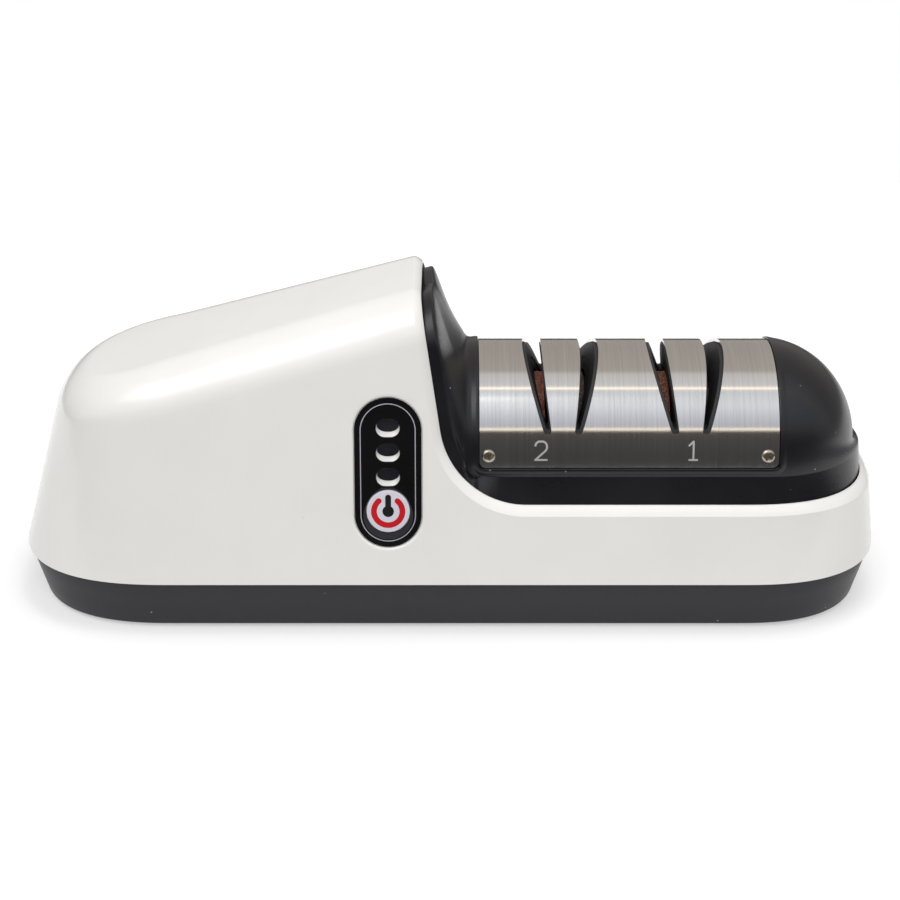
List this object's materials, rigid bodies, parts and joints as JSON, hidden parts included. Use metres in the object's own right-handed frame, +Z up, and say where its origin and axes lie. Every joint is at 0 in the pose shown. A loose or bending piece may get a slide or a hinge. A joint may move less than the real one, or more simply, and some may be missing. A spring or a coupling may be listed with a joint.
{
  "type": "electric knife sharpener",
  "caption": "Electric knife sharpener with a white casing, black base and steel slot cover; its motor, wheels and power button are separate pieces.",
  "frame": {"origin": "on the resting plane, under the centre of the object's box", "axes": "+X towards the sharpening end, +Y towards the back, +Z up; the control panel faces -Y"},
  "size_m": [0.215, 0.07, 0.081],
  "materials": {
    "white_shell": "glossy",
    "black_base": "satin",
    "black_saddle": "satin",
    "black_inner": "satin",
    "cover_steel": "brushed",
    "bright_steel": "polished",
    "plain_steel": "satin",
    "brown_abrasive": "matte",
    "dark_abrasive": "matte",
    "black_gloss": "glossy",
    "button_silver": "glossy",
    "smoked_lens": "glossy",
    "led_body": "glossy",
    "board_green": "satin",
    "cream_plastic": "satin",
    "cell_wrap": "glossy",
    "foot_rubber": "matte"
  },
  "bodies": {
    "body": {"upper_shell": "white_shell", "base_tray": "black_base", "saddle_housing": "black_saddle", "slot_cover": "cover_steel", "blade_guide": "black_inner", "cover_screws": "bright_steel", "bearing_left": "plain_steel", "bearing_right": "plain_steel", "bearing_bracket_left": "black_inner", "bearing_bracket_right": "black_inner", "motor_can": "plain_steel", "motor_end_cap": "cream_plastic", "motor_bracket": "black_inner", "motor_screws": "plain_steel", "bracket_screws": "plain_steel", "control_panel": "black_gloss", "light_guide": "smoked_lens", "indicator_leds": "led_body", "control_board": "board_green", "board_screws": "plain_steel", "tact_switch": "black_inner", "battery_cell": "cell_wrap", "battery_strap": "black_inner", "strap_screws": "plain_steel", "charge_socket": "plain_steel", "charge_board": "board_green", "rubber_feet": "foot_rubber", "case_screws": "plain_steel"},
    "rotor": {"grinding_shaft": "plain_steel", "fine_wheel_left": "brown_abrasive", "fine_wheel_right": "dark_abrasive", "coarse_wheel_left": "brown_abrasive", "coarse_wheel_right": "dark_abrasive", "wheel_spacers": "plain_steel", "shaft_clip": "plain_steel", "shaft_coupling": "black_inner", "motor_shaft": "plain_steel"},
    "button": {"power_button": "button_silver"},
    "plunger": {"switch_plunger": "cream_plastic"}
  },
  "joints": [
    {"name": "rotor_spin", "type": "hinge", "parent": "body", "child": "rotor", "pos_m": [0, 0, 0.0372], "axis": [1, 0, 0], "continuous": true},
    {"name": "button_press", "type": "slide", "parent": "body", "child": "button", "axis": [0, 0.9781, -0.2079], "range_m": [0, 0.0006], "stiffness_N_per_m": 600, "springref_m": -0.0006},
    {"name": "plunger_press", "type": "slide", "parent": "body", "child": "plunger", "axis": [0, 0.9781, -0.2079], "range_m": [0, 0.0006]}
  ],
  "couplings": [
    {"joint": "plunger_press", "follows": "button_press", "ratio": 1}
  ]
}
